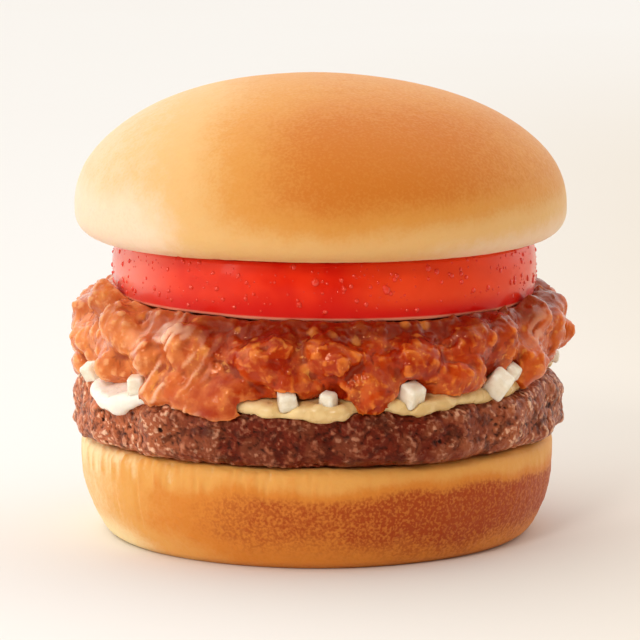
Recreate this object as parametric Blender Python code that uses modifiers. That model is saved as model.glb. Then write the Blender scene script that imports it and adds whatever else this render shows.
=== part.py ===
"""A hamburger in a plain soft bun, built from the bottom up: bun heel, beef patty, mayonnaise, diced onion,
chunky meat sauce, a thick slice of tomato and the bun crown.

Lengths are in metres and +Z is up. The origin is the centre of the heel's flat base. The front faces -Y, and
azimuths count in degrees from the front towards +X.
"""

import math
import random

import bmesh
import bpy
from mathutils import Matrix, Vector, noise

MM = 0.001
GAP = 0.3 * MM  # between pieces that touch

# Bun heel
HEEL_RADIUS = 48.2 * MM
HEEL_TOP = 20.5 * MM
HEEL_WIDEST = 14.8 * MM  # height of the widest ring
HEEL_TUCK = 5.1 * MM  # how far the side draws in below it
HEEL_FOOT = 1.0 * MM  # rounding of the base edge
HEEL_FOOT_HEIGHT = 1.5 * MM
HEEL_CORNER = 2.5 * MM  # radius of the top edge
HEEL_SHIFT = -0.6 * MM  # along X
HEEL_WAVE = 30 * MM  # size of its slow unevenness

# Beef patty
PATTY_RADIUS = 49.9 * MM
PATTY_BOTTOM = HEEL_TOP + GAP
PATTY_TOP = 32.3 * MM
PATTY_SHOULDER = 4.0 * MM  # radius of the top edge
PATTY_FOOT = 3.2 * MM  # radius of the bottom edge
PATTY_SHIFT = -0.6 * MM  # along X
PATTY_WAVE = 35 * MM
PATTY_CRAG = 9.0 * MM  # size of the side's crags
PATTY_CRAG_DEPTH = 1.5 * MM
PATTY_RIM = (0.85, 0.95)  # shares of the radius where the crags begin and are full
PATTY_RISES = (  # azimuth, half width in degrees and height in millimetres where the rim stands up
    (-76, 8, 2.4),
    (74, 10, 1.4),
)

# Mayonnaise, laid over the patty's top and shoulder
MAYO_THICKNESS = 2.5 * MM
MAYO_SINK = 0.8 * MM  # how far it reaches into the patty before it is cut back
MAYO_CLEARANCE = 0.45 * MM  # how far the sauce keeps off it; more than the gap, for the runs' steep flanks
MAYO_DROOP = 26.0  # degrees of the shoulder that it covers everywhere
MAYO_STEEPEST = 84.0  # degrees down the shoulder that no run passes
MAYO_WAVES = ((6, 5), (4, 11))  # how many degrees the edge rises and falls, and how often round the patty
MAYO_RUNS = (  # azimuth, half width and extra droop in degrees; where it is negative the edge draws back
    (-78, 12, -60),
    (-55, 11, 58),
    (-10, 9, 42),
    (5, 7, 36),
    (12, 5, -40),
    (21, 7, 30),
    (30, 8, 14),
    (50, 8, 16),
    (77, 14, -60),
    (110, 14, 25),
    (160, 18, 30),
    (-130, 16, 28),
)

# Diced onion, lying on the patty's shoulder
ONION_SIZE = 4.4 * MM
ONION_TAPER = 0.12  # how much narrower a dice is at one end
ONION_BEVEL = 0.45 * MM
FRONT_ONIONS = (  # azimuth, slope of the shoulder below, turn and lean in degrees, size, lift in millimetres
    (-67, 24, 20, 10, 0.8, 0.8),
    (-46.5, 22, 35, -12, 0.85, 0.0),
    (-6.6, 27, 15, 8, 0.88, 0.0),
    (2.6, 25, 60, -10, 0.74, 0.0),
    (22.0, 24, 25, 8, 1.0, 0.0),
    (45.8, 28, 30, 18, 1.08, 0.0),
    (52.5, 16, 10, 20, 0.75, 1.9),
    (86, 16, 30, 0, 0.6, 2.0),
)
BACK_ONIONS = 9
BACK_SPAN = (100, 270)  # azimuths of the burger's back, which the front lists leave out

# Meat sauce
SAUCE_BOTTOM = 33.4 * MM
SAUCE_TOP = 49.2 * MM
SAUCE_CORE = 46.2 * MM  # radius of the filling inside the lobes, at its foot
SAUCE_CORE_BELLY = 48.4 * MM
SAUCE_CORE_TOP = 43.0 * MM
SAUCE_REACH = 51.4 * MM  # radius of the most prominent lobes
SAUCE_BELLY = 41.0 * MM  # height at which they stand out most
SAUCE_TUCK = 50.0  # how fast the outline draws in above the belly, per metre
SAUCE_HANG = 12.0  # how fast it moves out below the belly, where drips pass the patty's edge
LOBE_DEPTH = 6.0 * MM  # half a lobe's radial size
FRONT_LOBES = (  # azimuth, height, half width and half height in millimetres, and tilt in degrees
    (-91, 43.5, 5.5, 5.0, 0),
    (-81, 40.2, 6.2, 3.8, 10),
    (-74, 48.8, 5.5, 3.8, 25),
    (-59, 37.4, 5.0, 3.6, 0),
    (-57, 44.6, 7.2, 4.0, 28),
    (-44, 40.6, 5.2, 4.2, 20),
    (-41, 34.0, 5.6, 4.2, 0),
    (-33, 42.4, 7.0, 5.2, 15),
    (-33, 34.8, 6.5, 5.0, 0),
    (-24, 33.4, 9.4, 5.7, -3),
    (-12, 41.6, 7.0, 5.0, -10),
    (-7, 37.4, 5.2, 4.4, 0),
    (3, 42.0, 6.4, 4.6, 12),
    (11.6, 36.0, 6.2, 6.2, 0),
    (22, 41.0, 5.6, 4.8, -15),
    (34, 38.0, 6.8, 5.6, 0),
    (39, 44.2, 5.6, 3.6, -10),
    (49, 43.6, 4.8, 4.8, -30),
    (60, 37.6, 5.8, 5.0, 0),
    (67, 45.8, 5.4, 4.2, -20),
    (77, 42.4, 5.6, 5.2, 0),
    (88, 45.6, 5.4, 3.8, 0),
    (93, 40.2, 5.6, 5.0, 0),
)
BACK_LOBE_STEP = 9.5  # degrees between lobes round the back
BACK_LOBE_WIDTH = (5.2, 7.2)  # millimetres
BACK_LOBE_HEIGHT = (3.6, 5.0)
BACK_LOBE_ROWS = (37.4, 43.6)
BACK_LOBE_STRAY = (-2.2, 1.4)  # millimetres by which a lobe leaves its row
SAUCE_LUMP = 5.0 * MM  # size of the lumps on the lobes
SAUCE_LUMP_DEPTH = 0.7 * MM
SAUCE_VOXEL = 1.3 * MM
SAUCE_FACES = 2900

# Tomato slice
TOMATO_RADIUS = 42.8 * MM
TOMATO_TOP = 60.0 * MM
TOMATO_BOTTOM = 48.9 * MM
TOMATO_SLOPES = (-0.012, 0.010)  # rise of the lower cut along X and along Y
TOMATO_CORNER = 0.9 * MM
TOMATO_BULGE = 0.5 * MM
TOMATO_SHIFT = 0.9 * MM  # along X
TOMATO_WAVE = 40 * MM

# Bun crown
CROWN_RADIUS = 50.0 * MM
CROWN_BOTTOM = TOMATO_TOP + GAP
CROWN_TOP = 93.0 * MM
CROWN_WIDEST = 67.0 * MM
CROWN_LIP = 5.5 * MM  # radius of the rolled lower edge
CROWN_ROUNDNESS = 2.07  # exponent of the dome's superellipse
CROWN_LEAN = -1.7 * MM  # how far the very top leans along X
CROWN_LEAN_POWER = 4  # the higher, the more of the lean is near the top
CROWN_WAVE = 45 * MM

UNEVEN = 0.4 * MM  # how far baked and cut outlines stray from a circle
STILL_RADIUS = 20 * MM  # nearer the axis than this, outlines don't stray

STEPS = 64  # facets round each turned piece
DOME_RINGS = 8  # rings of points between the dome's top and its widest
SHARP_ANGLE = 50.0  # degrees between faces that shade as an edge
SEED = 7


def clear_scene():
    for obj in list(bpy.data.objects):
        bpy.data.objects.remove(obj, do_unlink=True)


def new_collection(name):
    group = bpy.data.collections.new(name)
    bpy.context.scene.collection.children.link(group)
    return group


def add_material(name, colour, roughness):
    material = bpy.data.materials.new(name)
    material.use_nodes = True
    shader = material.node_tree.nodes["Principled BSDF"]
    shader.inputs["Base Color"].default_value = (*colour, 1.0)
    shader.inputs["Roughness"].default_value = roughness
    shader.inputs["Metallic"].default_value = 0.0
    material.diffuse_color = (*colour, 1.0)
    return material


def arc(centre_r, centre_z, radius, start, end, count):
    """Points of a profile's round corner, from one angle to another in degrees."""
    angles = [math.radians(start + (end - start) * i / (count - 1)) for i in range(count)]
    return [(centre_r + radius * math.cos(a), centre_z + radius * math.sin(a)) for a in angles]


def between(low, high, count):
    """Evenly spaced values from low to high, without the two ends."""
    return [low + (high - low) * i / (count + 1) for i in range(1, count + 1)]


def settle(obj):
    """Applies an object's modifiers to its mesh."""
    bpy.context.view_layer.update()
    graph = bpy.context.evaluated_depsgraph_get()
    mesh = bpy.data.meshes.new_from_object(obj.evaluated_get(graph))
    obj.modifiers.clear()
    obj.data = mesh


def add_mesh(name, shape, group):
    mesh = bpy.data.meshes.new(name)
    shape.to_mesh(mesh)
    shape.free()
    obj = bpy.data.objects.new(name, mesh)
    group.objects.link(obj)
    return obj


def turned(name, profile, group):
    """A solid turned about Z, from a profile that runs down its outer side from the axis to the axis."""
    mesh = bpy.data.meshes.new(name)
    points = [(r, 0.0, z) for r, z in profile]
    mesh.from_pydata(points, [(i, i + 1) for i in range(len(points) - 1)], [])
    obj = bpy.data.objects.new(name, mesh)
    group.objects.link(obj)
    screw = obj.modifiers.new("turn", "SCREW")
    screw.axis = "Z"
    screw.angle = math.tau
    screw.steps = STEPS
    screw.render_steps = STEPS
    screw.use_merge_vertices = True
    screw.merge_threshold = 0.01 * MM
    settle(obj)
    return obj


def move_points(obj, rule):
    """Moves every vertex of a mesh to where the rule sends it."""
    for vertex in obj.data.vertices:
        vertex.co = rule(vertex.co.copy())
    obj.data.update()


def waviness(point, size, offset):
    """Smooth noise between -1 and 1 whose bumps have the given size."""
    return noise.noise(point / size + Vector((offset, 0, 0)))


def outwards(point, distance):
    """Moves a point away from the axis, and leaves what is near the axis where it is."""
    radius = math.hypot(point.x, point.y)
    if radius < STILL_RADIUS:
        return point
    scale = 1 + distance / radius
    return Vector((point.x * scale, point.y * scale, point.z))


def azimuth_of(point):
    return math.degrees(math.atan2(point.x, -point.y))


def around(azimuth, radius, height):
    """The point at an azimuth in degrees, a radius and a height."""
    angle = math.radians(azimuth)
    return Vector((radius * math.sin(angle), -radius * math.cos(angle), height))


def angle_between(a, b):
    """How far apart two azimuths are, from 0 to 180 degrees."""
    return abs((a - b + 180) % 360 - 180)


def triangulate(obj):
    """Fixes the facets of a mesh, so that a cutter grown from it is folded along the same lines."""
    shape = bmesh.new()
    shape.from_mesh(obj.data)
    bmesh.ops.triangulate(shape, faces=shape.faces, quad_method="FIXED")
    shape.to_mesh(obj.data)
    shape.free()


def finish(obj, material):
    triangulate(obj)
    obj.data.materials.clear()
    obj.data.materials.append(material)
    obj.data.shade_smooth()
    obj.data.set_sharp_from_angle(angle=math.radians(SHARP_ANGLE))


def hide(cutter):
    cutter.hide_render = True
    cutter.display_type = "WIRE"


def grown(obj, group):
    """A cutter that is an object's shape, larger all round by the gap."""
    cutter = obj.copy()
    cutter.data = obj.data.copy()
    cutter.name = obj.name + "_cutter"
    group.objects.link(cutter)
    hide(cutter)
    swell = cutter.modifiers.new("grow", "DISPLACE")
    swell.direction = "NORMAL"
    swell.mid_level = 0.0
    swell.strength = GAP
    return cutter


def cut_back(obj, cutters, solver="EXACT"):
    for cutter in cutters:
        cut = obj.modifiers.new("cut_" + cutter.name, "BOOLEAN")
        cut.operation = "DIFFERENCE"
        cut.solver = solver
        cut.object = cutter
        settle(obj)
    keep_largest(obj)


def keep_largest(obj):
    """Drops the loose scraps that a cut leaves beside the piece itself."""
    shape = bmesh.new()
    shape.from_mesh(obj.data)
    left = set(shape.verts)
    islands = []
    while left:
        island = {left.pop()}
        edge_of = list(island)
        while edge_of:
            for edge in edge_of.pop().link_edges:
                for vertex in edge.verts:
                    if vertex in left:
                        left.remove(vertex)
                        island.add(vertex)
                        edge_of.append(vertex)
        islands.append(island)
    keep = max(islands, key=len)
    scraps = [vertex for vertex in shape.verts if vertex not in keep]
    bmesh.ops.delete(shape, geom=scraps, context="VERTS")
    shape.to_mesh(obj.data)
    shape.free()


def heel_side(height):
    """Radius of the heel's side at a height."""
    tuck = HEEL_TUCK * max(0.0, 1 - height / HEEL_WIDEST) ** 2
    foot = HEEL_FOOT * max(0.0, 1 - height / HEEL_FOOT_HEIGHT) ** 2
    return HEEL_RADIUS - tuck - foot


def heel_relief(point):
    moved = outwards(point, UNEVEN * waviness(point, HEEL_WAVE, 1))
    moved.x += HEEL_SHIFT
    return moved


def make_heel(group):
    inner = HEEL_RADIUS - HEEL_CORNER
    profile = [(0.0, HEEL_TOP)]
    profile += arc(inner, HEEL_TOP - HEEL_CORNER, HEEL_CORNER, 90, 0, 4)
    heights = between(HEEL_TOP - HEEL_CORNER, HEEL_FOOT_HEIGHT, 4)
    heights += [HEEL_FOOT_HEIGHT, HEEL_FOOT_HEIGHT / 2, 0.0]
    profile += [(heel_side(z), z) for z in heights]
    profile.append((0.0, 0.0))
    heel = turned("bun_heel", profile, group)
    move_points(heel, heel_relief)
    return heel


def rim_rise(azimuth):
    """How much higher than the rest the patty's rim stands at an azimuth."""
    total = 0.0
    for centre, half_width, rise in PATTY_RISES:
        total += rise * MM * math.exp(-((angle_between(azimuth, centre) / half_width) ** 2))
    return total


def patty_relief(point):
    """Crags all over the patty's side, fading out under the heel's and the mayonnaise's cover."""
    radius = math.hypot(point.x, point.y)
    start, full = PATTY_RIM
    rim = min(1.0, max(0.0, (radius / PATTY_RADIUS - start) / (full - start)))
    crag = waviness(point, PATTY_CRAG, 3) + 0.5 * waviness(point, PATTY_CRAG / 2, 5)
    slow = 2 * UNEVEN * waviness(point, PATTY_WAVE, 2)
    moved = outwards(point, rim * (slow + PATTY_CRAG_DEPTH * crag))
    upper = max(0.0, (point.z - PATTY_BOTTOM) / (PATTY_TOP - PATTY_BOTTOM))
    moved.z += rim * upper**2 * rim_rise(azimuth_of(point))
    moved.x += PATTY_SHIFT
    return moved


def make_patty(group):
    shoulder_r = PATTY_RADIUS - PATTY_SHOULDER
    foot_r = PATTY_RADIUS - PATTY_FOOT
    profile = [(0.0, PATTY_TOP), (shoulder_r - 2 * PATTY_SHOULDER, PATTY_TOP)]
    profile += arc(shoulder_r, PATTY_TOP - PATTY_SHOULDER, PATTY_SHOULDER, 90, 0, 6)
    profile += [(PATTY_RADIUS, z) for z in between(PATTY_TOP - PATTY_SHOULDER, PATTY_BOTTOM + PATTY_FOOT, 2)]
    profile += arc(foot_r, PATTY_BOTTOM + PATTY_FOOT, PATTY_FOOT, 0, -90, 4)
    profile.append((0.0, PATTY_BOTTOM))
    patty = turned("patty", profile, group)
    move_points(patty, patty_relief)
    return patty


def over_shoulder(reach, rise):
    """Radius and height of a point that lies on the patty's top: reach is the way there from the axis, along
    the top and then down round the shoulder, and rise is the distance above the surface."""
    flat = PATTY_RADIUS - PATTY_SHOULDER
    if reach <= flat:
        return reach, PATTY_TOP + rise
    slope = (reach - flat) / PATTY_SHOULDER
    arm = PATTY_SHOULDER + rise
    return flat + arm * math.sin(slope), PATTY_TOP - PATTY_SHOULDER + arm * math.cos(slope)


def mayo_reach(azimuth):
    """How far from the axis the mayonnaise comes at an azimuth, measured along the patty's surface."""
    droop = MAYO_DROOP
    for depth, count in MAYO_WAVES:
        droop += depth * math.sin(math.radians(count * azimuth))
    for centre, half_width, extra in MAYO_RUNS:
        droop += extra * math.exp(-((angle_between(azimuth, centre) / half_width) ** 2))
    return PATTY_RADIUS - PATTY_SHOULDER + PATTY_SHOULDER * math.radians(min(droop, MAYO_STEEPEST))


def mayo_blank(name, swell, group):
    """The mayonnaise before it is cut back, larger all round by swell. It starts as a disc whose points count
    as reach and rise, and is then laid over the patty."""
    flat = PATTY_RADIUS - PATTY_SHOULDER
    top = MAYO_THICKNESS + swell
    bottom = -MAYO_SINK - swell
    edge = (top - bottom) / 2
    ring = flat - PATTY_SHOULDER
    profile = [(0.0, top), (ring, top)]
    profile += arc(PATTY_RADIUS, (top + bottom) / 2, edge, 90, -90, 6)
    profile += [(ring, bottom), (0.0, bottom)]
    blank = turned(name, profile, group)

    def lay(point):
        radius = math.hypot(point.x, point.y)
        azimuth = azimuth_of(point)
        stretch = max(0.0, radius - flat) / (PATTY_RADIUS + edge - flat)
        reach = min(radius, flat) + stretch * (mayo_reach(azimuth) + swell - flat)
        laid_radius, height = over_shoulder(reach, point.z)
        laid = around(azimuth, laid_radius, height)
        laid.x += PATTY_SHIFT
        return laid

    move_points(blank, lay)
    triangulate(blank)
    return blank


def onion_list():
    """The dice that show at the front, then more round the back by a seeded rule."""
    draw = random.Random(SEED)
    dice = list(FRONT_ONIONS)
    start, end = BACK_SPAN
    for i in range(BACK_ONIONS):
        azimuth = start + (end - start) * (i + draw.uniform(0.3, 0.7)) / BACK_ONIONS
        slope = draw.uniform(10, 30)
        turn = draw.uniform(0, 90)
        lean = draw.uniform(-20, 25)
        dice.append((azimuth, slope, turn, lean, draw.uniform(0.8, 1.1), draw.uniform(0.0, 0.8)))
    return dice


def make_onion(number, azimuth, slope, turn, lean, size, lift, group):
    """One dice of onion, its lowest corner just clear of the patty's shoulder, or lifted off it."""
    shape = bmesh.new()
    bmesh.ops.create_cube(shape, size=ONION_SIZE * size)
    for vertex in shape.verts:
        if vertex.co.z > 0:
            vertex.co.x *= 1 - ONION_TAPER
            vertex.co.y *= 1 - ONION_TAPER
    bmesh.ops.rotate(shape, verts=shape.verts, matrix=Matrix.Rotation(math.radians(turn), 3, "Z"))
    bmesh.ops.rotate(shape, verts=shape.verts, matrix=Matrix.Rotation(math.radians(lean), 3, "X"))
    depth = -min(vertex.co.z for vertex in shape.verts)
    onion = add_mesh(f"onion_{number:02d}", shape, group)
    rise = depth + 2 * GAP + lift * MM
    reach = PATTY_RADIUS - PATTY_SHOULDER * (1 - math.radians(slope))
    radius, height = over_shoulder(reach, rise)
    onion.location = around(azimuth, radius, height)
    onion.location.x += PATTY_SHIFT
    facing = Matrix.Rotation(math.radians(azimuth), 3, "Z") @ Matrix.Rotation(math.radians(slope), 3, "X")
    onion.rotation_euler = facing.to_euler()
    bevel = onion.modifiers.new("edges", "BEVEL")
    bevel.width = ONION_BEVEL
    bevel.segments = 1
    return onion


def lobe_list():
    """The lobes that show at the front, then two rows round the back by a seeded rule."""
    draw = random.Random(SEED + 1)
    lobes = list(FRONT_LOBES)
    start, end = BACK_SPAN
    count = round((end - start) / BACK_LOBE_STEP)
    for i in range(count):
        azimuth = start + (end - start) * (i + 0.5) / count
        for row, height in enumerate(BACK_LOBE_ROWS):
            lobes.append((
                azimuth + (row - 0.5) * BACK_LOBE_STEP / 2 + draw.uniform(-2, 2),
                height + draw.uniform(*BACK_LOBE_STRAY),
                draw.uniform(*BACK_LOBE_WIDTH),
                draw.uniform(*BACK_LOBE_HEIGHT),
                draw.uniform(-25, 25),
            ))
    return lobes


def sauce_reach(height):
    """Radius of the lobes' outermost points at a height."""
    rise = height - SAUCE_BELLY
    return SAUCE_REACH + (-SAUCE_TUCK if rise > 0 else SAUCE_HANG) * rise * rise


def lobe_matrix(azimuth, height, half_width, half_height, tilt):
    height = height * MM
    centre = around(azimuth, sauce_reach(height) - LOBE_DEPTH, height)
    turn = Matrix.Rotation(math.radians(azimuth), 4, "Z") @ Matrix.Rotation(math.radians(tilt), 4, "Y")
    size = Matrix.Diagonal((half_width * MM, LOBE_DEPTH, half_height * MM, 1))
    return Matrix.Translation(centre) @ turn @ size


def lumpy(point, normal):
    """A point of the sauce's skin, moved along its normal by lumps of two sizes."""
    lump = waviness(point, SAUCE_LUMP, 11) + 0.5 * waviness(point, SAUCE_LUMP / 2, 13)
    return point + normal * (SAUCE_LUMP_DEPTH * lump)


def make_sauce(group):
    """A barrel-shaped core and a ring of lobes under one lumpy skin, before it is cut back."""
    shape = bmesh.new()
    levels = [(SAUCE_BOTTOM, SAUCE_CORE), (SAUCE_BELLY, SAUCE_CORE_BELLY), (SAUCE_TOP, SAUCE_CORE_TOP)]
    for (low, low_radius), (high, high_radius) in zip(levels, levels[1:]):
        middle = Matrix.Translation((0, 0, (low + high) / 2))
        bmesh.ops.create_cone(shape, cap_ends=True, segments=STEPS, radius1=low_radius, radius2=high_radius,
                              depth=high - low + GAP, matrix=middle)
    for lobe in lobe_list():
        bmesh.ops.create_icosphere(shape, subdivisions=3, radius=1.0, matrix=lobe_matrix(*lobe))
    sauce = add_mesh("meat_sauce", shape, group)
    skin = sauce.modifiers.new("skin", "REMESH")
    skin.mode = "VOXEL"
    skin.voxel_size = SAUCE_VOXEL
    settle(sauce)
    normals = [vertex.normal.copy() for vertex in sauce.data.vertices]
    for vertex, normal in zip(sauce.data.vertices, normals):
        vertex.co = lumpy(vertex.co, normal)
    thin = sauce.modifiers.new("thin", "DECIMATE")
    thin.ratio = SAUCE_FACES / (2 * len(sauce.data.polygons))
    settle(sauce)
    return sauce


def tomato_shape(point):
    """Slopes the lower cut, makes the slice slightly uneven and sets it off centre."""
    share = (TOMATO_TOP - point.z) / (TOMATO_TOP - TOMATO_BOTTOM)
    moved = outwards(point, UNEVEN * waviness(point, TOMATO_WAVE, 4))
    moved.z += share * (TOMATO_SLOPES[0] * point.x + TOMATO_SLOPES[1] * point.y)
    moved.x += TOMATO_SHIFT
    return moved


def make_tomato(group):
    inner = TOMATO_RADIUS - TOMATO_CORNER
    low = TOMATO_BOTTOM + TOMATO_CORNER
    high = TOMATO_TOP - TOMATO_CORNER
    profile = [(0.0, TOMATO_TOP)] + arc(inner, high, TOMATO_CORNER, 90, 0, 3)
    for z in between(high, low, 2):
        share = (z - low) / (high - low)
        profile.append((TOMATO_RADIUS + TOMATO_BULGE * math.sin(math.pi * share), z))
    profile += arc(inner, low, TOMATO_CORNER, 0, -90, 3)
    profile.append((0.0, TOMATO_BOTTOM))
    tomato = turned("tomato", profile, group)
    move_points(tomato, tomato_shape)
    return tomato


def crown_relief(point):
    moved = outwards(point, UNEVEN * waviness(point, CROWN_WAVE, 6))
    rise = max(0.0, (point.z - CROWN_WIDEST) / (CROWN_TOP - CROWN_WIDEST))
    moved.x += CROWN_LEAN * rise**CROWN_LEAN_POWER
    return moved


def make_crown(group):
    power = 2 / CROWN_ROUNDNESS
    height = CROWN_TOP - CROWN_WIDEST
    profile = [(0.0, CROWN_TOP)]
    for degrees in between(90, 0, DOME_RINGS) + [0.0]:
        angle = math.radians(degrees)
        radius = CROWN_RADIUS * math.cos(angle) ** power
        profile.append((radius, CROWN_WIDEST + height * math.sin(angle) ** power))
    profile += arc(CROWN_RADIUS - CROWN_LIP, CROWN_BOTTOM + CROWN_LIP, CROWN_LIP, 0, -90, 5)
    profile.append((0.0, CROWN_BOTTOM))
    crown = turned("bun_crown", profile, group)
    move_points(crown, crown_relief)
    return crown


def build():
    clear_scene()
    parts = new_collection("hamburger")
    cutters = new_collection("cutters")

    bun = add_material("bun", (0.62, 0.30, 0.09), 0.6)
    beef = add_material("beef", (0.17, 0.06, 0.03), 0.7)
    cream = add_material("mayonnaise", (0.86, 0.74, 0.52), 0.35)
    onion_flesh = add_material("onion", (0.85, 0.80, 0.68), 0.4)
    sauce_red = add_material("meat_sauce", (0.48, 0.11, 0.035), 0.3)
    tomato_red = add_material("tomato", (0.62, 0.04, 0.015), 0.25)

    finish(make_heel(parts), bun)
    patty = make_patty(parts)
    finish(patty, beef)
    tomato = make_tomato(parts)
    finish(tomato, tomato_red)
    finish(make_crown(parts), bun)

    onions = []
    for number, dice in enumerate(onion_list(), start=1):
        onion = make_onion(number, *dice, parts)
        finish(onion, onion_flesh)
        onions.append(onion)

    below = [grown(patty, cutters)] + [grown(onion, cutters) for onion in onions]
    mayonnaise = mayo_blank("mayonnaise", 0.0, parts)
    cut_back(mayonnaise, below)
    finish(mayonnaise, cream)

    mayo_cutter = mayo_blank("mayonnaise_cutter", MAYO_CLEARANCE, cutters)
    hide(mayo_cutter)
    sauce = make_sauce(parts)
    cut_back(sauce, below + [mayo_cutter, grown(tomato, cutters)], solver="MANIFOLD")
    finish(sauce, sauce_red)


build()
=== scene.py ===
"""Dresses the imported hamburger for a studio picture: soft bun, craggy beef patty, mayonnaise, diced onion,
chunky glossy meat sauce and a wet slice of tomato, on a plain pale floor.

Lengths are in metres and +Z is up. The front faces -Y. Azimuths count in degrees from the front towards +X.
"""

import itertools
import math
import random

import bmesh
import bpy
import numpy as np
from mathutils import Matrix, Vector, noise
from mathutils.bvhtree import BVHTree
from mathutils.kdtree import KDTree


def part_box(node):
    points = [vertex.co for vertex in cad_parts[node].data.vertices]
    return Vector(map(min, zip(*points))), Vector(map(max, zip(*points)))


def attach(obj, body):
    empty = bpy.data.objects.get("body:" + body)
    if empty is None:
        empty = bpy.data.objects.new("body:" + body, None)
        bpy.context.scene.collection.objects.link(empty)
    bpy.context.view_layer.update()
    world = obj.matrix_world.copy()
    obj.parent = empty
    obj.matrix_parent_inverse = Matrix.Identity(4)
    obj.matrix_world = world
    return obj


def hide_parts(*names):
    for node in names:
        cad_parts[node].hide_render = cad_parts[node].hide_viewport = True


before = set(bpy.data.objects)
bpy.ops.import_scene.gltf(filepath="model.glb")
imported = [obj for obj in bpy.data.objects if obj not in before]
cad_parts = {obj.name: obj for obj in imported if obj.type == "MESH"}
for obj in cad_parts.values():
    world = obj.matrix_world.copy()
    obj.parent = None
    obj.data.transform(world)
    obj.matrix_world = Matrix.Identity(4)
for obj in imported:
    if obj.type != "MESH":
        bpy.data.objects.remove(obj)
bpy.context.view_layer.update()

MM = 0.001
MERGE = 0.01 * MM  # points of a turned piece nearer to each other than this are one
COPY_MERGE = 0.001 * MM  # and points of a copied mesh
SEED = 11

# Camera
CAMERA_PLACE = (0.0, -0.729, 0.151)
CAMERA_TILT = 81.544  # degrees from straight down
CAMERA_LENS = 202.6
CAMERA_SENSOR = 36
CAMERA_NEAR = 0.01

# Shapes that the solids share
UNEVEN = 0.4 * MM  # how far baked and cut outlines stray from a circle
STILL_RADIUS = 20 * MM  # nearer the axis than this, outlines don't stray
HEEL_RADIUS = 48.2 * MM
HEEL_WIDEST = 14.8 * MM  # height of the widest ring
HEEL_TUCK = 5.1 * MM  # how far the side draws in below it
HEEL_FOOT = 1.0 * MM  # rounding of the base edge
HEEL_FOOT_HEIGHT = 1.5 * MM
HEEL_CORNER = 2.5 * MM  # radius of the top edge
HEEL_SHIFT = -0.6 * MM  # along X
HEEL_WAVE = 30 * MM  # size of its slow unevenness
PATTY_RADIUS = 49.9 * MM
PATTY_THICKNESS = 11.5 * MM
PATTY_SHOULDER = 4.0 * MM  # radius of the top edge
PATTY_FOOT = 3.2 * MM  # radius of the bottom edge
PATTY_SHIFT = -0.6 * MM  # along X
PATTY_WAVE = 35 * MM
PATTY_CRAG = 9.0 * MM  # size of the side's crags
PATTY_CRAG_DEPTH = 1.5 * MM
PATTY_RIM = (0.85, 0.95)  # shares of the radius where the crags begin and are full
PATTY_RISES = (  # azimuth, half width in degrees and height in millimetres where the rim stands up
    (-76, 8, 2.4),
    (74, 10, 1.4),
)
PATTY_SINK = 0.5 * MM  # how far it settles into the heel
TOMATO_RADIUS = 42.8 * MM
TOMATO_THICKNESS = 11.1 * MM
TOMATO_SLOPES = (-0.012, 0.010)  # rise of the lower cut along X and along Y
TOMATO_CORNER = 0.9 * MM
TOMATO_BULGE = 0.5 * MM
TOMATO_SHIFT = 0.9 * MM  # along X
TOMATO_WAVE = 40 * MM
CROWN_RADIUS = 50.0 * MM
CROWN_WIDEST = 67.0 * MM
CROWN_LIP = 5.5 * MM  # radius of the rolled lower edge
CROWN_ROUNDNESS = 2.07  # exponent of the dome's superellipse
CROWN_LEAN = -1.7 * MM  # how far the very top leans along X
CROWN_LEAN_POWER = 4  # the higher, the more of the lean is near the top
CROWN_WAVE = 45 * MM


# Meshes


def add_object(name, mesh):
    obj = bpy.data.objects.new(name, mesh)
    bpy.context.scene.collection.objects.link(obj)
    return obj


def settle(obj):
    """Applies an object's modifiers to its mesh."""
    bpy.context.view_layer.update()
    graph = bpy.context.evaluated_depsgraph_get()
    mesh = bpy.data.meshes.new_from_object(obj.evaluated_get(graph))
    obj.modifiers.clear()
    obj.data = mesh


def turned(name, profile, steps):
    """A solid turned about Z, from a profile that runs down its outer side from the axis to the axis."""
    mesh = bpy.data.meshes.new(name)
    points = [(r, 0.0, z) for r, z in profile]
    mesh.from_pydata(points, [(i, i + 1) for i in range(len(points) - 1)], [])
    obj = add_object(name, mesh)
    screw = obj.modifiers.new("turn", "SCREW")
    screw.axis = "Z"
    screw.angle = math.tau
    screw.steps = steps
    screw.render_steps = steps
    screw.use_merge_vertices = True
    screw.merge_threshold = MERGE
    settle(obj)
    return obj


def arc(centre_r, centre_z, radius, start, end, count):
    """Points of a profile's round corner, from one angle to another in degrees."""
    angles = [math.radians(start + (end - start) * i / (count - 1)) for i in range(count)]
    return [(centre_r + radius * math.cos(a), centre_z + radius * math.sin(a)) for a in angles]


def evenly(profile, spacing):
    """The same profile with points at even distances, close enough for fine relief."""
    line = np.array(profile)
    lengths = np.linalg.norm(np.diff(line, axis=0), axis=1)
    along = np.concatenate([[0.0], np.cumsum(lengths)])
    count = max(2, round(along[-1] / spacing))
    places = np.linspace(0, along[-1], count + 1)
    return list(zip(np.interp(places, along, line[:, 0]), np.interp(places, along, line[:, 1])))


def copy_of(name, *nodes):
    """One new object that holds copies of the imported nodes' meshes, with doubled points joined."""
    shape = bmesh.new()
    for node in nodes:
        shape.from_mesh(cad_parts[node].data)
    bmesh.ops.remove_doubles(shape, verts=shape.verts, dist=COPY_MERGE)
    mesh = bpy.data.meshes.new(name)
    shape.to_mesh(mesh)
    shape.free()
    return add_object(name, mesh)


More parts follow.
